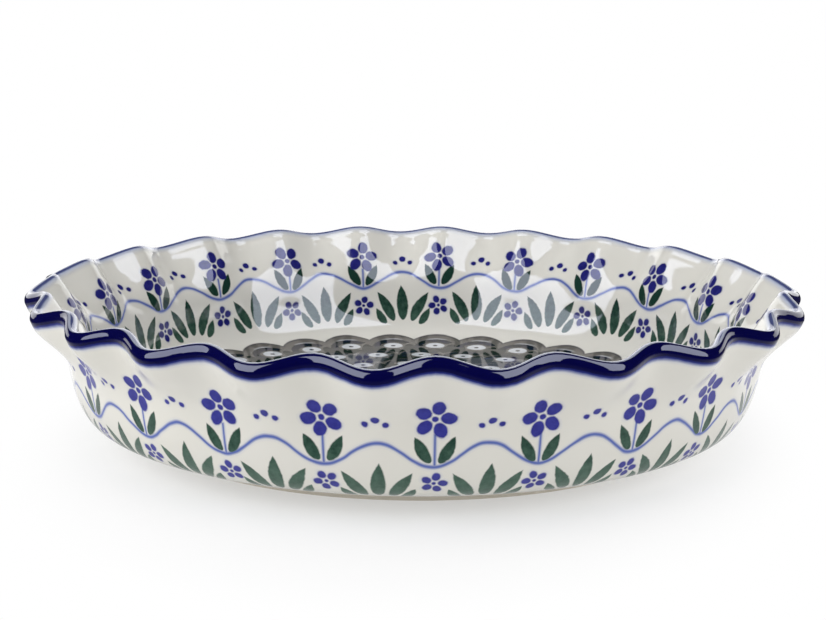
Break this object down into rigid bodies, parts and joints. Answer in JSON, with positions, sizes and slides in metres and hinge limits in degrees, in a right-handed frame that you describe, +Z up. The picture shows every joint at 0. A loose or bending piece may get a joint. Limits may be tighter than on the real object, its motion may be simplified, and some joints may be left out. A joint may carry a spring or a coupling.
{
  "type": "pie dish",
  "caption": "Round stoneware pie dish with a sloping wall, a ruffled fluted lip banded in cobalt glaze, an ivory glazed inside and outside and a bare foot ring.",
  "frame": {"origin": "centre of the circle that the foot ring stands on, on the table", "axes": "+Z up along the dish's axis; -Y towards the front of the picture, where one lobe of the ruffled lip points; +X to the right"},
  "size_m": [0.267, 0.2664, 0.053],
  "materials": {
    "fired_stoneware": "matte",
    "bare_foot_clay": "matte",
    "painted_glaze_outside": "gloss",
    "painted_glaze_inside": "gloss",
    "plain_glaze": "gloss",
    "cobalt_glaze": "gloss"
  },
  "bodies": {
    "root": {"stoneware_body": "fired_stoneware", "foot_ring": "bare_foot_clay", "outside_glaze": "painted_glaze_outside", "inside_glaze": "painted_glaze_inside", "underside_glaze": "plain_glaze", "rim_band": "cobalt_glaze"}
  },
  "joints": []
}
